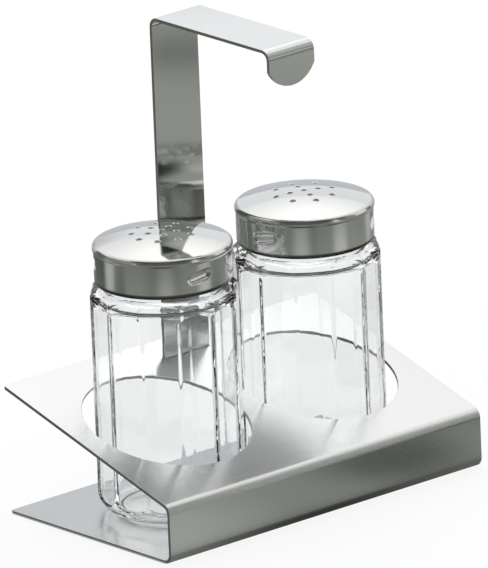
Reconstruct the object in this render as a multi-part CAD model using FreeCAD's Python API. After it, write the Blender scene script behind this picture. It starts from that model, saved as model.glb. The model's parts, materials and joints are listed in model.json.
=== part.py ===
import FreeCAD, Part
import math
import os

# Salt and pepper set: two screw-capped glass shakers in a bent steel stand with a carrying handle.
# Millimetres. X runs along the stand, Y from its front to its back, Z up.
# The origin is the middle of the bottom plate's underside, on the table.

# Stand sheet
stand_length = 114.3
base_depth = 67.2
sheet = 1.0
bend_inside = 2.0
slope_angle = 16.7
fold_height = 16.6
slope_length = 70.9
plate_corner_radius = 1.0
edge_round = 0.15

# Round openings in the sloping plate
opening_radius = 23.7
opening_pitch = 53.9
opening_reach = 36.3

# Carrying handle, a bent strip of the same sheet
handle_width = 16.6
handle_offset = 2.8
handle_setback = 7.5
handle_height = 132.6
handle_reach = 49.6
hook_drop = 11.4
hook_side_drop = 6.3
foot_length = 7.0
foot_bend_inside = 0.5
slot_gap = 0.05

# Glass jars
facet_count = 12
jar_radius = 20.8
jar_base_round = 7.0
facet_round = 1.6
jar_shoulder_height = 64.5
jar_shoulder_round = 7.0
shoulder_edge_round = 1.3
jar_wall = 2.3
jar_floor = 2.4
foot_radius = 13.0
foot_rise = 0.5
neck_height = 11.7
neck_radius = 17.2
neck_wall = 2.2
lip_round = 0.7
hollow_round = 4.0

# Screw thread: short ridges on the neck, pressed lugs in the cap
start_count = 3
thread_lead = 22.0
ridge_radius = 0.8
ridge_before = 40.0
ridge_after = 24.0
thread_gap = 0.1
lug_drop = 4.9
lug_radius = 1.9
lug_length = 5.0
lug_outset = 0.35
lug_edge_round = 0.6

# Soft ring between the lip of the jar and the cap
ring_thickness = 0.9
ring_width = 1.9
ring_gap = 0.04

# Steel caps
cap_sheet = 0.4
cap_radius = 19.05
cap_height = 14.4
bead_height = 1.9
bead_step = 0.3
shoulder_round = 1.4
dome_radius = 18.4
dome_rise = 2.8
hem_round = 1.4
hem_sweep = 50.0
pour_hole_radius = 0.75
pour_hole_round = 0.35
hole_ring_pitch = 4.2

# Where the shakers stand in the stand, and how they are turned
shaker_inward = 1.8
shaker_shift = 1.0
left_facet_turn = 0.0
right_facet_turn = 9.3
left_thread_turn = 21.0
right_thread_turn = 72.0

slope = math.radians(slope_angle)
front_face = -base_depth / 2
back_edge = front_face + slope_length * math.cos(slope)
handle_face = back_edge - handle_setback - sheet / 2
opening_y = front_face + opening_reach * math.cos(slope)
jar_mouth = sheet + jar_shoulder_height + neck_height


def point(x, y, z):
    return FreeCAD.Vector(x, y, z)


def slope_top(y):
    return fold_height + (y - front_face) * math.tan(slope)


def corner(before, here, after, radius):
    # Where a bend of this mid radius starts and ends, its centre and the way it turns.
    arriving = (here - before).normalize()
    leaving = (after - here).normalize()
    turn = arriving.getAngle(leaving)
    run = radius * math.tan(turn / 2)
    way = 1 if arriving.y * leaving.z - arriving.z * leaving.y > 0 else -1
    start = here - arriving * run
    centre = start + left_of(arriving) * (way * radius)
    return start, here + leaving * run, centre, way


def left_of(direction):
    return point(0, -direction.z, direction.y)


def sheet_side(path, radii, offset):
    # Edges along one face of a bent sheet, offset to the left of its middle path.
    edges = []
    heading = (path[1] - path[0]).normalize()
    last = path[0] + left_of(heading) * offset
    first = last
    for before, here, after, inside in zip(path, path[1:], path[2:], radii):
        start, end, centre, way = corner(before, here, after, inside + sheet / 2)
        arriving = (here - before).normalize()
        leaving = (after - here).normalize()
        face_radius = inside + sheet / 2 - way * offset
        arc_start = start + left_of(arriving) * offset
        arc_end = end + left_of(leaving) * offset
        arc_middle = centre + (here - centre).normalize() * face_radius
        edges.append(Part.makeLine(last, arc_start))
        edges.append(Part.Arc(arc_start, arc_middle, arc_end).toShape())
        last = arc_end
    heading = (path[-1] - path[-2]).normalize()
    end_point = path[-1] + left_of(heading) * offset
    edges.append(Part.makeLine(last, end_point))
    return edges, first, end_point


def bent_sheet(path, radii, width, middle_x):
    left, left_start, left_end = sheet_side(path, radii, sheet / 2)
    right, right_start, right_end = sheet_side(path, radii, -sheet / 2)
    outline = left + [Part.makeLine(left_end, right_end)]
    outline += right[::-1] + [Part.makeLine(right_start, left_start)]
    face = Part.Face(Part.Wire(outline))
    face.translate(point(middle_x - width / 2, 0, 0))
    return face.extrude(point(width, 0, 0))


def rounded_corners(shape, length, radius, is_corner):
    edges = [edge for edge in shape.Edges if abs(edge.Length - length) < 1e-6 and is_corner(edge)]
    return shape.makeFillet(radius, edges)


def revolved(points_and_arcs, centre):
    # Each item is an end point (r, z), or a middle and an end point for an arc.
    edges = []
    last = points_and_arcs[0][-1]
    for item in points_and_arcs[1:] + points_and_arcs[:1]:
        start = point(last[0], 0, last[1])
        end = point(item[-1][0], 0, item[-1][1])
        if len(item) == 2:
            middle = point(item[0][0], 0, item[0][1])
            edges.append(Part.Arc(start, middle, end).toShape())
        elif (end - start).Length > 1e-7:
            edges.append(Part.makeLine(start, end))
        last = item[-1]
    solid = Part.Face(Part.Wire(edges)).revolve(point(0, 0, 0), point(0, 0, 1), 360)
    solid.translate(centre)
    return solid


def on_circle(centre_r, centre_z, radius, angle):
    turn = math.radians(angle)
    return (centre_r + radius * math.cos(turn), centre_z + radius * math.sin(turn))


def arc_to(centre_r, centre_z, radius, start_angle, end_angle):
    # Middle and end point of an arc in a turned outline.
    middle = on_circle(centre_r, centre_z, radius, (start_angle + end_angle) / 2)
    return (middle, on_circle(centre_r, centre_z, radius, end_angle))


def eased(shape):
    # The cut edges of a sheet are a little rounded; the lines where flats meet bends are not edges.
    edges = []
    for edge in shape.Edges:
        meeting = shape.ancestorsOfType(edge, Part.Face)
        middle = edge.valueAt((edge.FirstParameter + edge.LastParameter) / 2)
        normals = [face.normalAt(*face.Surface.parameter(middle)) for face in meeting]
        if len(normals) == 2 and normals[0].getAngle(normals[1]) > math.radians(60):
            edges.append(edge)
    return shape.makeFillet(edge_round, edges)


# Stand
def stand_sheet():
    end = sheet / 2
    fold = front_face + end
    path = [
        point(0, front_face + base_depth, end),
        point(0, fold, end),
        point(0, fold, slope_top(fold) - end / math.cos(slope)),
        point(0, back_edge + end * math.sin(slope), slope_top(back_edge) - end * math.cos(slope)),
    ]
    body = bent_sheet(path, [bend_inside, bend_inside], stand_length, 0)
    body = rounded_corners(body, sheet, plate_corner_radius, at_stand_corner)
    for middle_x in (-opening_pitch / 2, opening_pitch / 2):
        body = body.cut(plate_opening(middle_x))
    return eased(body).cut(handle_slot())


def at_stand_corner(edge):
    middle = edge.CenterOfMass
    return middle.y > front_face + base_depth / 2 and abs(abs(middle.x) - stand_length / 2) < 1e-6


def plate_opening(middle_x):
    up = point(0, -math.sin(slope), math.cos(slope))
    on_top = point(middle_x, opening_y, slope_top(opening_y))
    return Part.makeCylinder(opening_radius, 4 * sheet, on_top - up * (2 * sheet), up)


def handle_slot():
    turn = (math.pi / 2 - slope) / 2
    front_gap = foot_bend_inside * math.tan(turn) + slot_gap
    width = handle_width + 2 * slot_gap
    front = handle_face - sheet / 2 - front_gap
    back = handle_face + sheet / 2 + slot_gap
    low = point(handle_offset - width / 2, front, slope_top(handle_face) - 3 * sheet)
    return Part.makeBox(width, back - front, 5 * sheet, low)


# Handle
def handle():
    below = 1.5 * sheet / math.cos(slope)
    knee = point(0, handle_face, slope_top(handle_face) - below)
    down_slope = point(0, -math.cos(slope), -math.sin(slope))
    hook_face = handle_face - handle_reach + sheet
    arm = handle_height - sheet / 2
    path = [
        knee + down_slope * foot_length,
        knee,
        point(0, handle_face, arm),
        point(0, hook_face, arm),
        point(0, hook_face, handle_height - hook_drop),
    ]
    strip = bent_sheet(path, [foot_bend_inside, bend_inside, bend_inside], handle_width, handle_offset)
    return eased(strip.common(hook_trim(hook_face)))


def hook_trim(hook_face):
    # A long block whose lower end is round, so the hook's tip is cut to an arc.
    half = handle_width / 2
    side_z = handle_height - hook_side_drop
    low_z = handle_height - hook_drop
    far = handle_face + sheet + handle_width
    near = hook_face - sheet
    tip_end = hook_face + 2 * sheet
    arc = Part.Arc(
        point(handle_offset - half, near, side_z),
        point(handle_offset, near, low_z),
        point(handle_offset + half, near, side_z),
    ).toShape()
    top = handle_height + sheet
    outline = [
        arc,
        Part.makeLine(point(handle_offset + half, near, side_z), point(handle_offset + half, near, top)),
        Part.makeLine(point(handle_offset + half, near, top), point(handle_offset - half, near, top)),
        Part.makeLine(point(handle_offset - half, near, top), point(handle_offset - half, near, side_z)),
    ]
    tip = Part.Face(Part.Wire(outline)).extrude(point(0, tip_end - near, 0))
    rest = Part.makeBox(handle_width, far - tip_end, top, point(handle_offset - half, tip_end, 0))
    return tip.fuse(rest)


# Jars
def jar(centre, facet_turn, thread_turn):
    base = sheet
    shoulder = base + jar_shoulder_height
    outer = revolved(
        [
            ((0, base + foot_rise),),
            foot_arc(base),
            ((jar_radius - jar_base_round, base),),
            arc_to(jar_radius - jar_base_round, base + jar_base_round, jar_base_round, -90, 0),
            (on_circle(neck_radius, shoulder - jar_shoulder_round, jar_shoulder_round, shoulder_angle()),),
            shoulder_arc(shoulder),
            ((neck_radius, jar_mouth - lip_round),),
            arc_to(neck_radius - lip_round, jar_mouth - lip_round, lip_round, 0, 90),
            ((0, jar_mouth),),
        ],
        centre,
    )
    glass = outer.common(facet_prism(centre, facet_turn, jar_radius))
    crease = [edge for edge in glass.Edges if at_shoulder(glass, edge, centre)]
    glass = glass.makeFillet(shoulder_edge_round, crease)
    for start in range(start_count):
        glass = glass.fuse(thread_ridge(centre, thread_turn + start * 360 / start_count))
    return glass.cut(jar_hollow(centre, facet_turn))


def foot_arc(base):
    # The underside is a shallow dish, so that only a ring of it touches the plate.
    ball = (foot_radius ** 2 + foot_rise ** 2) / (2 * foot_rise)
    edge = math.degrees(math.asin((ball - foot_rise) / ball))
    return arc_to(0, base + foot_rise - ball, ball, 90, edge)


def shoulder_angle():
    return math.degrees(math.acos((jar_radius - neck_radius) / jar_shoulder_round))


def shoulder_arc(shoulder):
    # From the side of the jar round to the foot of the neck, where it is level.
    return arc_to(neck_radius, shoulder - jar_shoulder_round, jar_shoulder_round, shoulder_angle(), 90)


def at_shoulder(glass, edge, centre):
    # Edges where the facets run out into the round shoulder.
    middle = edge.valueAt((edge.FirstParameter + edge.LastParameter) / 2) - centre
    outside = math.hypot(middle.x, middle.y) > (neck_radius + jar_radius) / 2
    high = middle.z > sheet + jar_shoulder_height - jar_shoulder_round
    return outside and high and len(glass.ancestorsOfType(edge, Part.Face)) == 2


def facet_prism(centre, facet_turn, corner_radius):
    corners = []
    for step in range(facet_count + 1):
        angle = math.radians(facet_turn + step * 360 / facet_count)
        corners.append(point(corner_radius * math.cos(angle), corner_radius * math.sin(angle), 0))
    face = Part.Face(Part.makePolygon(corners))
    height = jar_mouth + neck_wall
    prism = face.extrude(point(0, 0, height))
    prism = rounded_corners(prism, height, facet_round, lambda edge: True)
    prism.translate(centre)
    return prism


def jar_hollow(centre, facet_turn):
    # The inside follows the facets, one wall behind them, and narrows to a round bore.
    half_turn = math.cos(math.pi / facet_count)
    inside = jar_radius - jar_wall / half_turn
    floor = sheet + jar_floor
    bore = neck_radius - neck_wall
    ceiling = sheet + jar_shoulder_height - jar_wall
    return revolved(
        [
            ((0, floor),),
            ((inside - hollow_round, floor),),
            arc_to(inside - hollow_round, floor + hollow_round, hollow_round, -90, 0),
            ((inside, ceiling - hollow_round),),
            arc_to(inside - hollow_round, ceiling - hollow_round, hollow_round, 0, 60),
            ((bore, ceiling + hollow_round / 2),),
            ((bore, jar_mouth + neck_wall),),
            ((0, jar_mouth + neck_wall),),
        ],
        centre,
    ).common(facet_prism(centre, facet_turn, inside))


def lug_height():
    return jar_mouth - lug_drop


def thread_ridge(centre, turn):
    # A rounded ridge that climbs round the neck above one lug.
    reach = cap_radius + lug_outset - neck_radius
    climb = math.sqrt((lug_radius + ridge_radius + thread_gap) ** 2 - reach ** 2)
    lead = thread_lead / 360
    sweep = ridge_before + ridge_after
    low = lug_height() + climb - lead * ridge_before
    helix = Part.makeHelix(thread_lead, lead * sweep, neck_radius)
    heading = point(0, neck_radius * math.radians(1), lead)
    section = Part.Wire([Part.makeCircle(ridge_radius, point(neck_radius, 0, 0), heading)])
    ridge = Part.Wire(helix.Edges).makePipeShell([section], True, True)
    for angle in (0, sweep):
        away = math.radians(angle)
        end = point(neck_radius * math.cos(away), neck_radius * math.sin(away), lead * angle)
        ridge = ridge.fuse(Part.makeSphere(ridge_radius, end))
    ridge.rotate(point(0, 0, 0), point(0, 0, 1), turn - ridge_before)
    ridge.translate(centre + point(0, 0, low))
    return ridge


# Caps
ball_radius = (dome_radius ** 2 + dome_rise ** 2) / (2 * dome_rise)
ring_outside = neck_radius - lip_round / 2


def under_dome(radius):
    # Height of the dome's underside above the middle of its ball.
    return math.sqrt((ball_radius - cap_sheet) ** 2 - radius ** 2)


def cap_rim():
    # The dome's underside sits a hair above the outer edge of the soft ring.
    ball_centre = jar_mouth + ring_thickness + 2 * ring_gap - under_dome(ring_outside)
    return ball_centre + ball_radius - dome_rise


def seal_ring(centre):
    # Flat below, where it lies on the lip, and sloping like the dome above.
    low = jar_mouth + ring_gap
    inside = ring_outside - ring_width
    outer_top = low + ring_thickness
    inner_top = outer_top + under_dome(inside) - under_dome(ring_outside)
    corners = [((inside, low),), ((ring_outside, low),), ((ring_outside, outer_top),), ((inside, inner_top),)]
    return revolved(corners, centre)


def lug_bar(centre, turn, radius):
    # A round-ended bar lying along the thread, centred just outside the skirt.
    reach = cap_radius + lug_outset
    lead_angle = math.atan(thread_lead / (2 * math.pi * reach))
    along = point(0, math.cos(lead_angle), math.sin(lead_angle))
    start = point(reach, 0, lug_height()) - along * (lug_length / 2)
    bar = Part.makeCylinder(radius, lug_length, start, along)
    for end in (start, start + along * lug_length):
        bar = bar.fuse(Part.makeSphere(radius, end))
    bar.rotate(point(0, 0, 0), point(0, 0, 1), turn)
    bar.translate(centre)
    return bar


def cap(centre, turn, hole_counts):
    shell = cap_shell(centre)
    skirt_fill = Part.makeCylinder(cap_radius - cap_sheet / 2, cap_rim(), centre)
    for start in range(start_count):
        angle = turn + start * 360 / start_count
        shell = shell.fuse(lug_bar(centre, angle, lug_radius).common(skirt_fill))
        shell = shell.cut(lug_bar(centre, angle, lug_radius - cap_sheet))
    shell = shell.makeFillet(lug_edge_round, [edge for edge in shell.Edges if at_lug(shell, edge)])
    for ring, count in enumerate(hole_counts):
        for step in range(count):
            shell = shell.cut(pour_hole(centre, ring * hole_ring_pitch, turn + step * 360 / count))
    return shell


def at_lug(shell, edge):
    # Edges where a pressed lug leaves the outside of the skirt.
    surfaces = [face.Surface for face in shell.ancestorsOfType(edge, Part.Face)]
    radii = sorted(surface.Radius for surface in surfaces if hasattr(surface, "Radius"))
    wanted = (lug_radius - cap_sheet, cap_radius)
    return len(radii) == 2 and all(abs(r - w) < edge_round / 100 for r, w in zip(radii, wanted))


def pour_hole(centre, reach, turn):
    # A punch with a flared top, square to the dome, so that the hole's upper edge is round.
    mouth = pour_hole_radius + pour_hole_round
    punch = revolved(
        [
            ((0, ball_radius - 2 * cap_sheet),),
            ((pour_hole_radius, ball_radius - 2 * cap_sheet),),
            ((pour_hole_radius, ball_radius - pour_hole_round),),
            arc_to(mouth, ball_radius - pour_hole_round, pour_hole_round, 180, 90),
            ((mouth, ball_radius + cap_sheet),),
            ((0, ball_radius + cap_sheet),),
        ],
        point(0, 0, 0),
    )
    punch.rotate(point(0, 0, 0), point(0, 1, 0), math.degrees(math.asin(reach / ball_radius)))
    punch.rotate(point(0, 0, 0), point(0, 0, 1), turn)
    punch.translate(centre + point(0, 0, cap_rim() + dome_rise - ball_radius))
    return punch


def cap_shell(centre):
    # The outer face from dome to hem, then the inner face back up, one sheet apart.
    rim = cap_rim()
    hem = rim + dome_rise - cap_height + hem_round
    bead_foot = rim - bead_height
    ball_centre = rim + dome_rise - ball_radius
    edge = math.degrees(math.asin((ball_radius - dome_rise) / ball_radius))
    shoulder_r, crown = on_circle(dome_radius, rim, shoulder_round, edge + 180)
    bead_radius = shoulder_r + shoulder_round
    hem_r = cap_radius - hem_round
    return revolved(
        [
            arc_to(0, ball_centre, ball_radius - cap_sheet, edge, 90),
            ((0, ball_centre + ball_radius),),
            arc_to(0, ball_centre, ball_radius, 90, edge),
            arc_to(shoulder_r, crown, shoulder_round, edge, 0),
            ((bead_radius, bead_foot + bead_step),),
            ((cap_radius, bead_foot - bead_step),),
            ((cap_radius, hem),),
            arc_to(hem_r, hem, hem_round, 0, -hem_sweep),
            (on_circle(hem_r, hem, hem_round - cap_sheet, -hem_sweep),),
            arc_to(hem_r, hem, hem_round - cap_sheet, -hem_sweep, 0),
            ((cap_radius - cap_sheet, bead_foot - bead_step),),
            ((bead_radius - cap_sheet, bead_foot + bead_step),),
            ((bead_radius - cap_sheet, crown),),
            arc_to(shoulder_r, crown, shoulder_round - cap_sheet, 0, edge),
        ],
        centre,
    )


shaker_x = opening_pitch / 2 - shaker_inward
left_shaker = point(-shaker_x, opening_y + shaker_shift, 0)
right_shaker = point(shaker_x, opening_y - shaker_shift, 0)

pieces = {
    "stand_sheet": stand_sheet(),
    "carrying_handle": handle(),
    "salt_jar": jar(left_shaker, left_facet_turn, left_thread_turn),
    "pepper_jar": jar(right_shaker, right_facet_turn, right_thread_turn),
    "salt_seal_ring": seal_ring(left_shaker),
    "pepper_seal_ring": seal_ring(right_shaker),
    "salt_cap": cap(left_shaker, left_thread_turn, (1, 5, 9)),
    "pepper_cap": cap(right_shaker, right_thread_turn, (1, 4, 8)),
}

os.makedirs("parts", exist_ok=True)
for name, shape in pieces.items():
    shape.exportStep("parts/" + name + ".step")
    box = shape.BoundBox
    print(name, shape.isValid(), len(shape.Solids), "volume", round(shape.Volume, 1),
          "z", round(box.ZMin, 2), round(box.ZMax, 2), "x", round(box.XMin, 2), round(box.XMax, 2))
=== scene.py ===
# %% [markdown]
# A salt and pepper set: two faceted glass shakers with steel screw caps stand in a stand that is
# bent from one steel sheet, and a bent strip rises between them as a carrying handle.
# The packed model gives every piece its place. This lesson gives the pieces their finishes,
# sets them in a small photo studio and looks at them through a long lens.

# %% Load the frame
import json
import math

import bpy
from mathutils import Matrix, Vector

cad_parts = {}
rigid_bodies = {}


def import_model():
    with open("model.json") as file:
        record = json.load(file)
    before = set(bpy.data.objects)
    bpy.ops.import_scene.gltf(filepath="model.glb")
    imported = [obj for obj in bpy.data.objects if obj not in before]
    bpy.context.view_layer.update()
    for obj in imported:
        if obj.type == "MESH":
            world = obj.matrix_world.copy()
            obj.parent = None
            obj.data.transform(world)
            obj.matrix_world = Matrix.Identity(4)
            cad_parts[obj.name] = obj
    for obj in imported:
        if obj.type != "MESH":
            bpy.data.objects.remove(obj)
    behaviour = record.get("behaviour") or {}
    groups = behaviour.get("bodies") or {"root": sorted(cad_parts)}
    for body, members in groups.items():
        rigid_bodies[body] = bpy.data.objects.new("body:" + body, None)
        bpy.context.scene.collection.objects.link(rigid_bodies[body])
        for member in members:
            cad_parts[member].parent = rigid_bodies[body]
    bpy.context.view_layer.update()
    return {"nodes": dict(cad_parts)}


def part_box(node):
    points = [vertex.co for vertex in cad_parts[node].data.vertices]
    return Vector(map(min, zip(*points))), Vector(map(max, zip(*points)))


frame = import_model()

print("nodes:", sorted(frame["nodes"]))


# %% [markdown]
# The picture was taken with a long lens from some metres away, from the left, a little above the
# set and tilted by a hair. A camera could be aimed with a Track To constraint, but that can't tilt
# it. So it is placed by three turns: round the set, down towards it, and about its own line of
# sight. The lens is written for a sensor 36 mm along the picture's longer side.

# %% Camera
HEADING, DIP, TILT = (math.radians(angle) for angle in (40.72, 17.87, -2.32))
CAMERA_PLACE = (-3.46075, -4.02292, 1.77069)
SENSOR_MM = 36
LENS_MM = 1285.5
CLIP_NEAR, CLIP_FAR = 0.5, 60


def camera_axes(heading, dip, tilt):
    """Right, up and forward of a camera that looks along heading, dipped and tilted."""
    forward = Vector((
        math.sin(heading) * math.cos(dip),
        math.cos(heading) * math.cos(dip),
        -math.sin(dip),
    ))
    level = Vector((math.cos(heading), -math.sin(heading), 0))
    upright = level.cross(forward)
    right = math.cos(tilt) * level + math.sin(tilt) * upright
    return right, right.cross(forward), forward


def place_camera():
    right, up, forward = camera_axes(HEADING, DIP, TILT)
    data = bpy.data.cameras.new("long_lens")
    data.sensor_width = SENSOR_MM
    data.lens = LENS_MM
    data.clip_start = CLIP_NEAR
    data.clip_end = CLIP_FAR
    camera = bpy.data.objects.new("long_lens", data)
    bpy.context.scene.collection.objects.link(camera)
    turn = Matrix((right, up, -forward)).transposed().to_4x4()
    camera.matrix_world = Matrix.Translation(CAMERA_PLACE) @ turn
    bpy.context.scene.camera = camera
    return camera


camera = place_camera()
bpy.context.scene.view_settings.view_transform = "Standard"
print("camera stands", round(camera.location.length, 2), "m from the set")


# %% [markdown]
# A look through one jar crosses four surfaces of glass, and the other jar often stands behind it.
# Cycles stops a ray after so many turns and paints it black, so glass needs more turns than usual.

# %% Turns of a ray
rays = bpy.context.scene.cycles
rays.max_bounces = 24
rays.glossy_bounces = 12
rays.transmission_bounces = 20
rays.transparent_max_bounces = 16
print("a ray turns up to", rays.max_bounces, "times")


# %% [markdown]
# A finish is a small web of nodes, and most of it is arithmetic: a grain times a strength plus a
# base value. Nodes can be added one by one, but then the sum is hard to read. Here one class wraps
# a socket, so that a sum in Python adds the Math nodes, and one method makes any other node.

# %% A socket that can be calculated with
class Socket:
    """A node's output, or the empty start of a tree."""

    def __init__(self, tree, socket=None):
        self.tree = tree
        self.socket = socket

    def node(self, kind, settings=None, inputs=None, output=0):
        made = self.tree.nodes.new(kind)
        for name, value in (settings or {}).items():
            setattr(made, name, value)
        for name, value in (inputs or {}).items():
            if isinstance(value, Socket):
                self.tree.links.new(value.socket, made.inputs[name])
            else:
                made.inputs[name].default_value = value
        return Socket(self.tree, made.outputs[output] if made.outputs else None)

    def maths(self, operation, *values):
        return self.node("ShaderNodeMath", {"operation": operation}, dict(enumerate(values)))

    def clamped(self):
        """The value itself between 0 and 1, and no further."""
        return self.maths("MINIMUM", self.maths("MAXIMUM", self, 0.0), 1.0)

    def __add__(self, other):
        return self.maths("ADD", self, other)

    def __sub__(self, other):
        return self.maths("SUBTRACT", self, other)

    def __rsub__(self, other):
        return self.maths("SUBTRACT", other, self)

    def __mul__(self, other):
        return self.maths("MULTIPLY", self, other)

    def __truediv__(self, other):
        return self.maths("DIVIDE", self, other)

    __radd__ = __add__
    __rmul__ = __mul__


print("a socket can do", [name for name in vars(Socket) if not name.startswith("__")])


# %% [markdown]
# Every finish here is built from the same few parts: a colour between two colours, a noise, and a
# place to read the noise at. Object coordinates are metres on the piece itself, so a grain keeps
# its size on every piece and stays on it when the piece moves.

# %% Parts of a finish
FACE_WAY, OBJECT_PLACE = 1, 3  # outputs of Texture Coordinate: the normal, and metres


def new_finish(name):
    """A new material with an empty tree, and the start of that tree."""
    material = bpy.data.materials.new(name)
    material.use_nodes = True
    material.node_tree.nodes.clear()
    return material, Socket(material.node_tree)


def mixed(start, factor, first, second):
    """A colour between two colours."""
    return start.node(
        "ShaderNodeMix", {"data_type": "RGBA"}, {0: factor, 6: first, 7: second}, output=2
    )


def tinted(colour, share):
    """The same colour, darker."""
    return tuple(share * part for part in colour[:3]) + (1,)


def noise(start, place, scale, detail=2.0, roughness=0.5):
    return start.node(
        "ShaderNodeTexNoise",
        {"noise_dimensions": "3D"},
        {"Vector": place, "Scale": scale, "Detail": detail, "Roughness": roughness},
    )


def object_place(start, centre=(0, 0, 0), stretch=(1, 1, 1)):
    """Object coordinates from a centre, stretched so that a pattern can run along one axis."""
    place = start.node("ShaderNodeTexCoord", output=OBJECT_PLACE)
    move = tuple(-c * s for c, s in zip(centre, stretch))
    return start.node(
        "ShaderNodeMapping", {}, {"Vector": place, "Location": move, "Scale": stretch}
    )


def metal_surface(start, base, roughness, height):
    """Metal all over, with its colour, its gloss and its fine relief."""
    surface = start.node("ShaderNodeBsdfPrincipled", {}, {
        "Base Color": base,
        "Metallic": 1.0,
        "Roughness": roughness,
        "Normal": height,
    })
    start.node("ShaderNodeOutputMaterial", {}, {"Surface": surface})


# %% [markdown]
# Stainless sheet gets its satin from fine belt lines that all run one way. The lines are far finer
# than a tenth of a millimetre, so from a distance they only widen the gloss, and close up they show
# as a faint grain. They are a noise stretched along the belt's way: coarse along it, fine across
# it. A second, slow noise stands for the places where hands and cloths have polished the sheet a
# little more or less. Edges that face left or right were sheared, not polished, so they are duller,
# and their colour is darkened as painted shade, for the dark reflection that they show.

# %% Sheet steel
def sheet_steel(name, colour, gloss, stretch, grain):
    material, start = new_finish(name)
    lines = noise(start, object_place(start, stretch=stretch), 1.0, detail=3.0, roughness=0.6)
    clouds = noise(start, object_place(start), 45.0, detail=2.0)
    facing = start.node("ShaderNodeTexCoord", output=FACE_WAY)
    side = start.node("ShaderNodeSeparateXYZ", {}, {0: facing}, output=0)
    sheared_edge_and_painted_shade = ((start.maths("ABSOLUTE", side) - 0.5) / 0.4).clamped()
    roughness = gloss + grain * (lines - 0.5) + 0.05 * (clouds - 0.5) + 0.15 * sheared_edge_and_painted_shade
    flat = mixed(start, 0.35 * lines + 0.65 * clouds, tinted(colour, 0.95), colour)
    # sheared edges: duller for real, and darker in colour as painted shade for the dark reflection
    # they show
    base = mixed(start, sheared_edge_and_painted_shade, flat, tinted(colour, 0.42))
    height = start.node(
        "ShaderNodeBump", {}, {"Height": lines, "Strength": 0.12, "Distance": 0.000006}
    )
    metal_surface(start, base, roughness, height)
    return material


ALONG, ACROSS = 60, 5200  # how often the belt lines change in a metre
stand_steel = sheet_steel(
    "stand_steel_satin", (0.80, 0.81, 0.80, 1), 0.26, (ALONG, ACROSS, ACROSS), 0.05
)
handle_steel = sheet_steel(
    "handle_steel_satin", (0.78, 0.79, 0.77, 1), 0.095, (ACROSS, ALONG, ALONG), 0.04
)
print("sheet finishes:", stand_steel.name, handle_steel.name)


# %% [markdown]
# A cap is pressed and then turned on a lathe, which leaves fine rings round its skirt, while the
# domed top is polished until it mirrors. The rings are a noise that reads only the distance from
# the cap's own axis and the height, so they run round it. The rolled hem is duller, and its colour
# is darkened nearly to black as painted shade. The upper skirt is painted darker towards its top,
# a painted reflection of the darker table that it mirrors there. The heights are those of a cap in
# its place on the jar, in metres.

# %% Cap steel
DOME_EDGE = 0.0780
DOME_BLEND = 0.0004
HEM_EDGE = 0.0683
HEM_BLEND = 0.0005
# where the painted darkening of the upper skirt begins, and how far up it grows
SKIRT_PAINTED_SHADE_FOOT = 0.0700
SKIRT_PAINTED_SHADE_LENGTH = 0.0070


def cap_steel(name, axis):
    material, start = new_finish(name)
    place = object_place(start, centre=(axis[0], axis[1], 0))
    x, y, z = (start.node("ShaderNodeSeparateXYZ", {}, {0: place}, output=i) for i in range(3))
    reach = start.maths("SQRT", x * x + y * y)
    round_place = start.node("ShaderNodeCombineXYZ", {}, {"X": reach, "Z": z})
    rings = noise(start, round_place, 3800.0, detail=2.0)
    clouds = noise(start, place, 120.0)
    top = ((z - (DOME_EDGE - DOME_BLEND / 2)) / DOME_BLEND).clamped()
    dull_hem_painted_shade = ((HEM_EDGE - z) / HEM_BLEND).clamped()
    painted_skirt_shade = ((z - SKIRT_PAINTED_SHADE_FOOT) / SKIRT_PAINTED_SHADE_LENGTH).clamped()
    ring_gloss = (0.08 - 0.06 * top) * (rings - 0.5)
    roughness = 0.17 + 0.12 * dull_hem_painted_shade - 0.10 * top + ring_gloss + 0.03 * (clouds - 0.5)
    clean = mixed(start, 0.5 * rings + 0.5 * clouds, (0.70, 0.71, 0.69, 1), (0.80, 0.81, 0.79, 1))
    # painted reflection: the upper skirt's colour darkens towards its top
    skirt_with_painted_shade = mixed(start, 0.35 * painted_skirt_shade * (1 - top), clean, (0.40, 0.40, 0.39, 1))
    # painted shade: the rolled hem's colour is darkened nearly to black
    base = mixed(start, 0.95 * dull_hem_painted_shade, skirt_with_painted_shade, (0.08, 0.08, 0.075, 1))
    relief = rings * (1 - 0.85 * top)
    height = start.node(
        "ShaderNodeBump", {}, {"Height": relief, "Strength": 0.2, "Distance": 0.00001}
    )
    metal_surface(start, base, roughness, height)
    return material


def middle_of(node):
    """The middle of a node's box; the ring under a cap is as round as the cap is."""
    low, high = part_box(node)
    return (low + high) / 2


salt_axis = middle_of("salt_seal_ring")
pepper_axis = middle_of("pepper_seal_ring")
salt_cap_steel = cap_steel("salt_cap_steel", salt_axis)
pepper_cap_steel = cap_steel("pepper_cap_steel", pepper_axis)
print("salt axis", tuple(salt_axis), "pepper axis", tuple(pepper_axis))


# %% [markdown]
# Pressed glass is clear but never quite flat: its faces carry a slow waviness from the mould, which
# bends the lines seen through it. Light has to reach what stands in and behind a jar, so a lamp's
# ray passes the wall straight and only a little dimmed, while every other ray is bent. Light Path
# tells the finish which ray has come. Thin walls could do without true bending, but these are
# thick, and their bright and dark lines come from it.

# %% Glass
def light_path(start, output):
    """What Light Path knows of the ray that has come to the finish."""
    return start.node("ShaderNodeLightPath", output=output)


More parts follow.
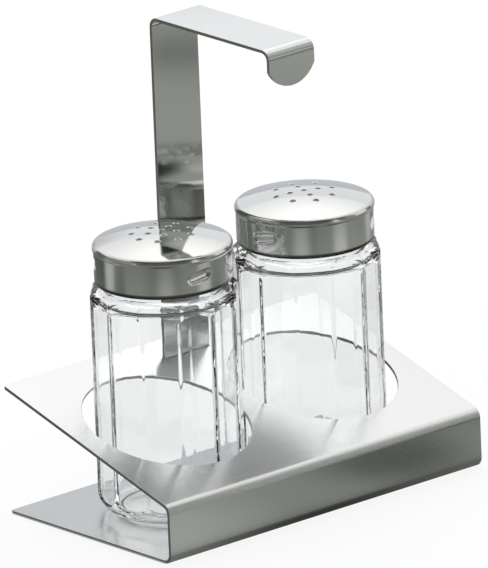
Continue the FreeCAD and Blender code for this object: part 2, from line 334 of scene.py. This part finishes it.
def pressed_glass(name):
    material, start = new_finish(name)
    place = object_place(start)
    slow = noise(start, place, 55.0, detail=1.0)
    fine = noise(start, place, 420.0, detail=1.0)
    height = start.node(
        "ShaderNodeBump", {}, {"Height": slow + 0.06 * fine, "Strength": 0.35, "Distance": 0.0004}
    )
    rough = 0.004 + 0.012 * (fine * slow)
    body = start.node("ShaderNodeBsdfPrincipled", {}, {
        "Base Color": (0.953, 0.961, 0.965, 1),
        "Roughness": rough,
        "IOR": 1.5,
        "Transmission Weight": 1.0,
        "Normal": height,
    })
    straight = start.node("ShaderNodeBsdfTransparent", {}, {"Color": (0.93, 0.95, 0.945, 1)})
    lamp_ray = light_path(start, "Is Shadow Ray")
    surface = start.node("ShaderNodeMixShader", {}, {0: lamp_ray, 1: body, 2: straight})
    start.node("ShaderNodeOutputMaterial", {}, {"Surface": surface})
    return material


jar_glass = pressed_glass("jar_glass_pressed")
print("glass finish:", jar_glass.name)


# %% [markdown]
# The ring between jar and cap is a soft milky polymer, a little cloudy and never shiny. It hardly
# shows, but it is seen through the glass when a cap is off, so it has a finish of its own.

# %% Soft ring
def soft_polymer(name):
    material, start = new_finish(name)
    place = object_place(start)
    clouds = noise(start, place, 300.0, detail=3.0)
    grain = noise(start, place, 5000.0)
    base = mixed(start, clouds, (0.84, 0.84, 0.81, 1), (0.92, 0.92, 0.90, 1))
    height = start.node(
        "ShaderNodeBump", {}, {"Height": grain, "Strength": 0.3, "Distance": 0.00002}
    )
    surface = start.node("ShaderNodeBsdfPrincipled", {}, {
        "Base Color": base,
        "Roughness": 0.5 + 0.15 * (clouds - 0.5),
        "Normal": height,
    })
    start.node("ShaderNodeOutputMaterial", {}, {"Surface": surface})
    return material


ring_polymer = soft_polymer("ring_polymer_milky")
print("ring finish:", ring_polymer.name)


# %% [markdown]
# The pieces come from the packed model with their shapes finished, so they only get dressed: the
# finish goes into every material slot that a piece has. Nothing is moved, and no mesh is changed.

# %% Dress the pieces
def dress(node, material):
    slots = frame["nodes"][node].material_slots
    for slot in slots:
        slot.material = material
    print(f"{node} wears {material.name} in {len(slots)} slot(s)")


dress("stand_sheet", stand_steel)
dress("carrying_handle", handle_steel)
dress("salt_jar", jar_glass)
dress("pepper_jar", jar_glass)
dress("salt_seal_ring", ring_polymer)
dress("pepper_seal_ring", ring_polymer)
dress("salt_cap", salt_cap_steel)
dress("pepper_cap", pepper_cap_steel)


# %% [markdown]
# The set was photographed on white. A pale floor and a pale room give that white, and the floor's
# own colour is lifted to white for what looks at it, so the lamps can stay plain and the shadow
# under the set stays too.

# %% Floor
def flat_square(name, size, centre, turn=(0, 0, 0)):
    bpy.ops.object.select_all(action="DESELECT")
    bpy.ops.mesh.primitive_plane_add(size=1, location=centre, rotation=turn)
    made = bpy.context.object
    made.name = name
    made.scale = (size[0], size[1], 1)
    bpy.ops.object.transform_apply(location=True, rotation=True, scale=True)
    return made


def seen_share(start):
    """1 for rays that look: from the camera, off metal or through glass."""
    from_camera = light_path(start, "Is Camera Ray")
    off_metal = light_path(start, "Is Glossy Ray")
    through_glass = light_path(start, "Is Transmission Ray")
    return (from_camera + off_metal + through_glass).clamped()


def pale_floor():
    material, start = new_finish("floor_pale")
    clouds = noise(start, object_place(start), 3.0)
    matt = start.node("ShaderNodeBsdfDiffuse", {}, {
        "Color": mixed(start, clouds, (0.86, 0.86, 0.86, 1), (0.88, 0.88, 0.88, 1)),
    })
    lift = start.node("ShaderNodeEmission", {}, {"Color": (1, 1, 1, 1), "Strength": 1.15})
    lifted = 0.72 * seen_share(start)
    surface = start.node("ShaderNodeMixShader", {}, {0: lifted, 1: matt, 2: lift})
    start.node("ShaderNodeOutputMaterial", {}, {"Surface": surface})
    floor = flat_square("floor", (16, 16), (0, 0, 0))
    floor.data.materials.append(material)
    return floor


floor = pale_floor()
print("floor is", tuple(floor.dimensions)[:2], "m")


# %% [markdown]
# The room is the world's background: white for what looks at it, and about half as bright for what
# it lights, so that it fills the shadows without washing them out.

# %% Room
def pale_room():
    world = bpy.data.worlds.new("pale_room")
    world.use_nodes = True
    world.node_tree.nodes.clear()
    start = Socket(world.node_tree)
    level = 0.45 + 0.55 * seen_share(start)
    air = start.node("ShaderNodeBackground", {}, {"Color": (1, 1, 1, 1), "Strength": level})
    start.node("ShaderNodeOutputWorld", {}, {"Surface": air})
    bpy.context.scene.world = world
    return world


room = pale_room()
print("room:", room.name)


# %% [markdown]
# Two wide soft lamps light the set, one high behind it and one at the left in front. They light
# the floor and the soft rings, and lay the shadow. Metal and glass don't mirror them: a lamp would
# show there as a hard white square, and the cards of the next step give softer shapes.

# %% Lamps
SET_MIDDLE = (0, 0, 0.05)


def soft_lamp(name, size, place, power):
    data = bpy.data.lights.new(name, "AREA")
    data.shape = "RECTANGLE"
    data.size, data.size_y = size
    data.energy = power
    lamp = bpy.data.objects.new(name, data)
    bpy.context.scene.collection.objects.link(lamp)
    lamp.location = place
    lamp.rotation_mode = "QUATERNION"
    lamp.rotation_quaternion = (Vector(SET_MIDDLE) - Vector(place)).to_track_quat("-Z", "Y")
    lamp.visible_glossy = False
    lamp.visible_transmission = False
    print(f"{name}: {power} W from {(Vector(place) - Vector(SET_MIDDLE)).length:.2f} m")


soft_lamp("lamp_high", (2.4, 1.6), (0.62, 0.72, 1.05), 10.0)
soft_lamp("lamp_left", (0.8, 0.8), (-1.1, -0.6, 0.9), 2.0)


# %% [markdown]
# Steel has no colour of its own to show: it shows the room. In a studio, grey and dark cards stand
# round such a set just outside the picture, and some lie on the table, so that the metal gets its
# bands of light and dark. These cards glow in their own shade, so no lamp changes them, and the
# soft patches on them give a band its soft edge. Only a ray that a mirror has turned meets them:
# the camera, the floor and a plain look through a jar go straight past.

# %% What a card is
def hide_card(made):
    made.visible_camera = False
    made.visible_diffuse = False
    made.visible_shadow = False
    made.visible_transmission = False


def paper(shade):
    """Grey paper with a breath of green; white paper has none, and a full colour stays as it is."""
    if isinstance(shade, tuple):
        return shade
    tint = 0.06 * max(0, 1 - shade)
    return (shade, shade * (1 + tint), shade * (1 - tint), 1)


def met_metal(start):
    """1 for rays that a mirror has turned on their way here, 0 for a plain look through glass."""
    return light_path(start, "Glossy Depth").clamped()


def soft_patch(start, spot, full, gone, squeeze=(1, 1, 1)):
    """1 within a distance of a spot and 0 past a farther one; a squeezed way counts for less."""
    place = start.node("ShaderNodeTexCoord", output=OBJECT_PLACE)
    near = start.node("ShaderNodeVectorMath", {"operation": "SUBTRACT"}, {0: place, 1: spot})
    near = start.node("ShaderNodeVectorMath", {"operation": "MULTIPLY"}, {0: near, 1: squeeze})
    away = start.node("ShaderNodeVectorMath", {"operation": "LENGTH"}, {0: near}, output=1)
    return ((gone - away) / (gone - full)).clamped()


def toned_card(name, size, centre, tones, shade, turn=(0, 0, 0), past_glass=0):
    """A card with soft patches, brighter by past_glass for rays that have crossed a jar's wall.

    Each tone is a spot, where its patch is full, where it is gone, its shade and, if the patch is
    long, how its ways are squeezed.
    """
    material, start = new_finish(name + "_paper")
    colour = paper(shade)
    for spot, full, gone, patch_shade, *squeeze in tones:
        patch = soft_patch(start, spot, full, gone, *squeeze)
        colour = mixed(start, patch, colour, paper(patch_shade))
    strength = 1 + past_glass * light_path(start, "Transmission Depth").clamped()
    glow = start.node("ShaderNodeEmission", {}, {"Color": colour, "Strength": strength})
    clear = start.node("ShaderNodeBsdfTransparent", {}, {"Color": (1, 1, 1, 1)})
    surface = start.node("ShaderNodeMixShader", {}, {0: met_metal(start), 1: clear, 2: glow})
    start.node("ShaderNodeOutputMaterial", {}, {"Surface": surface})
    material.cycles.emission_sampling = "NONE"
    made = flat_square(name, size, centre, turn)
    made.data.materials.append(material)
    hide_card(made)
    return made


print("card shades run from", paper(0)[:3], "to", paper(1)[:3])


# %% [markdown]
# A card's place is easiest to give as seen from the set: a bearing, counted from the right-hand end
# of the stand and turning left behind it, an angle above the table, and a distance.

# %% Where a card stands
EYE_HEIGHT = 0.06  # angles above the table are taken from here, halfway up the set


def spot_at(bearing, rise, distance):
    """A place seen from the middle of the set at a bearing and an angle above the table."""
    way, lift = math.radians(bearing), math.radians(rise)
    reach = distance * math.cos(lift)
    return (reach * math.cos(way), reach * math.sin(way), EYE_HEIGHT + distance * math.sin(lift))


def room_card(name, bearing, rises, distance, width, shade, tones=(), past_glass=0):
    """A card that faces the set from a bearing, between two angles above the table, in degrees."""
    rise = (rises[0] + rises[1]) / 2
    height = 2 * distance * math.tan(math.radians(rises[1] - rises[0]) / 2)
    turn = (math.radians(90 + rise), 0, math.radians(bearing - 90))
    middle = spot_at(bearing, rise, distance)
    return toned_card(name, (width, height), middle, tones, shade, turn, past_glass)


def table_card(name, size, bearing, distance, lift, tones, shade):
    """A card that lies on the table at a bearing from the set, turned with it."""
    way = math.radians(bearing)
    centre = (distance * math.cos(way), distance * math.sin(way), lift)
    return toned_card(name, size, centre, tones, shade, (0, 0, way))


def card_names():
    return sorted(made.name for made in bpy.data.objects if made.name.startswith("card_"))


CAMERA_SIDE = 229.4
MIRROR_SIDE = 49.4
print("towards the camera:", [round(part, 3) for part in spot_at(CAMERA_SIDE, 0, 1)])


# %% [markdown]
# A face that stands upright mirrors the table in front of it: its foot mirrors what is near, and
# what is higher mirrors what is farther away. So the cards on the table shape the stand's low
# front, the skirts of the caps and the whole strip. The look along the table is a flat one, so a
# round patch on it shows in the mirror as a wide, low band.

# %% Cards on the table
table_card("card_table", (3.0, 3.0), 0, 0, 0.0005, [
    # far patches: left sides of the skirts and of the domes' edges
    ((0.45, 0.55, 0), 0.22, 0.67, 0.72),
    ((-0.05, 0.30, 0), 0.07, 0.21, 0.12),
    ((-0.15, 0.20, 0), 0.04, 0.12, 0.10),
    ((-0.20, 0.20, 0), 0.04, 0.07, 0.60),
    ((-0.19, 0.06, 0), 0.04, 0.09, 0.08),
    # near patches: the stand's front, light at its left and dark at its right
    ((-0.045, -0.06, 0), 0.015, 0.045, 0.40),
    ((0.045, -0.062, 0), 0.012, 0.030, 0.08),
    # a painted shadow where the stand meets the table, long and narrow
    ((0.0, -0.034, 0), 0.001, 0.009, 0.04, (0.08, 1, 1)),
], 0.25)
front_table = table_card("card_table_front", (1.1, 1.2), CAMERA_SIDE, 0.655, 0.001, [
    # the middles of both skirts
    ((-0.22, -0.24, 0), 0.06, 0.20, 0.14),
    ((-0.14, -0.15, 0), 0.03, 0.075, 0.48),
], 0.25)
right_table = table_card("card_table_right", (0.9, 0.9), 316.0, 0.56, 0.0015, [
    # right sides of both skirts
    ((0.09, -0.205, 0), 0.035, 0.065, 0.58),
    ((0.30, -0.03, 0), 0.04, 0.08, 0.60),
    ((0.24, -0.12, 0), 0.04, 0.09, 0.28),
    # the foot of the strip, behind the left jar
    ((0.10, -0.09, 0), 0.035, 0.08, 0.03),
    # the upper strip and the hook, with a dark band near the strip's top
    ((0.215, -0.22, 0), 0.05, 0.08, 0.33),
    ((0.33, -0.37, 0), 0.06, 0.15, 0.37),
    ((0.253, -0.265, 0), 0.005, 0.021, 0.07),
], 0.25)
print("cards on the table:", card_names())


# %% [markdown]
# What slopes or bulges mirrors higher things. Dark cards on the camera's side shape the edges of
# the domes, those at the right shape the bends, and the low card behind gives the bottom plate its
# cool grey. The sloping plate mirrors the sky card, the largest and brightest of all.

# %% Cards in the room
room_card("card_camera_low", CAMERA_SIDE, (-3, 50), 0.9, 1.8, 0.12)
room_card("card_camera_high", CAMERA_SIDE, (48, 86), 1.0, 1.6, 0.04, [
    (spot_at(CAMERA_SIDE, 88.0, 1.0), 0.15, 0.60, 0.40),
])
room_card("card_right", 303.0, (-3, 24), 0.7, 0.45, 0.24, [
    # a light line along the bends
    ((0.405, -0.545, 0.22), 0.03, 0.07, 0.58),
])
room_card("card_right_high", 306.0, (24, 56), 0.7, 0.42, 0.42, [
    (spot_at(299.0, 37.0, 0.7), 0.10, 0.17, 0.03),
    ((0.42, -0.36, 0.51), 0.03, 0.08, 0.58),
])
room_card("card_left", 155.0, (-3, 45), 0.9, 0.9, 0.32)
room_card("card_left_back", 108.0, (-3, 30), 0.9, 0.62, 0.14)
room_card("card_right_back", 4.0, (-3, 22), 0.9, 0.45, 0.16)
room_card("card_back_low", MIRROR_SIDE, (-12, 13), 0.28, 0.60, (0.58, 0.60, 0.635, 1))
room_card("card_back_mid", MIRROR_SIDE, (12.2, 29), 0.30, 0.60, (0.88, 0.895, 0.92, 1), [
    (spot_at(76.0, 13.0, 0.30), 0.02, 0.09, 0.40),
])
room_card("card_back_far", MIRROR_SIDE, (13, 26), 1.3, 1.5, (1.005, 1.02, 1.055, 1))
sky = room_card("card_sky", 45.0, (24, 76), 1.2, 1.8, 0.97, [
    (spot_at(45.0, 52.0, 1.2), 0.15, 0.60, 1.35),
], past_glass=0.40)
print("all cards:", card_names())


# %% [markdown]
# Steel seen through a jar mirrors the cards too, and its ray has to cross the jar's wall on the
# way. Cycles counts such a ray as one through glass, so the three cards that the strip and the
# plate mirror there are opened to those rays. The finish still lets a plain look pass.

# %% Cards behind glass
for card in (front_table, right_table, sky):
    card.visible_transmission = True
    print(card.name, "can be mirrored through a jar")


# %% [markdown]
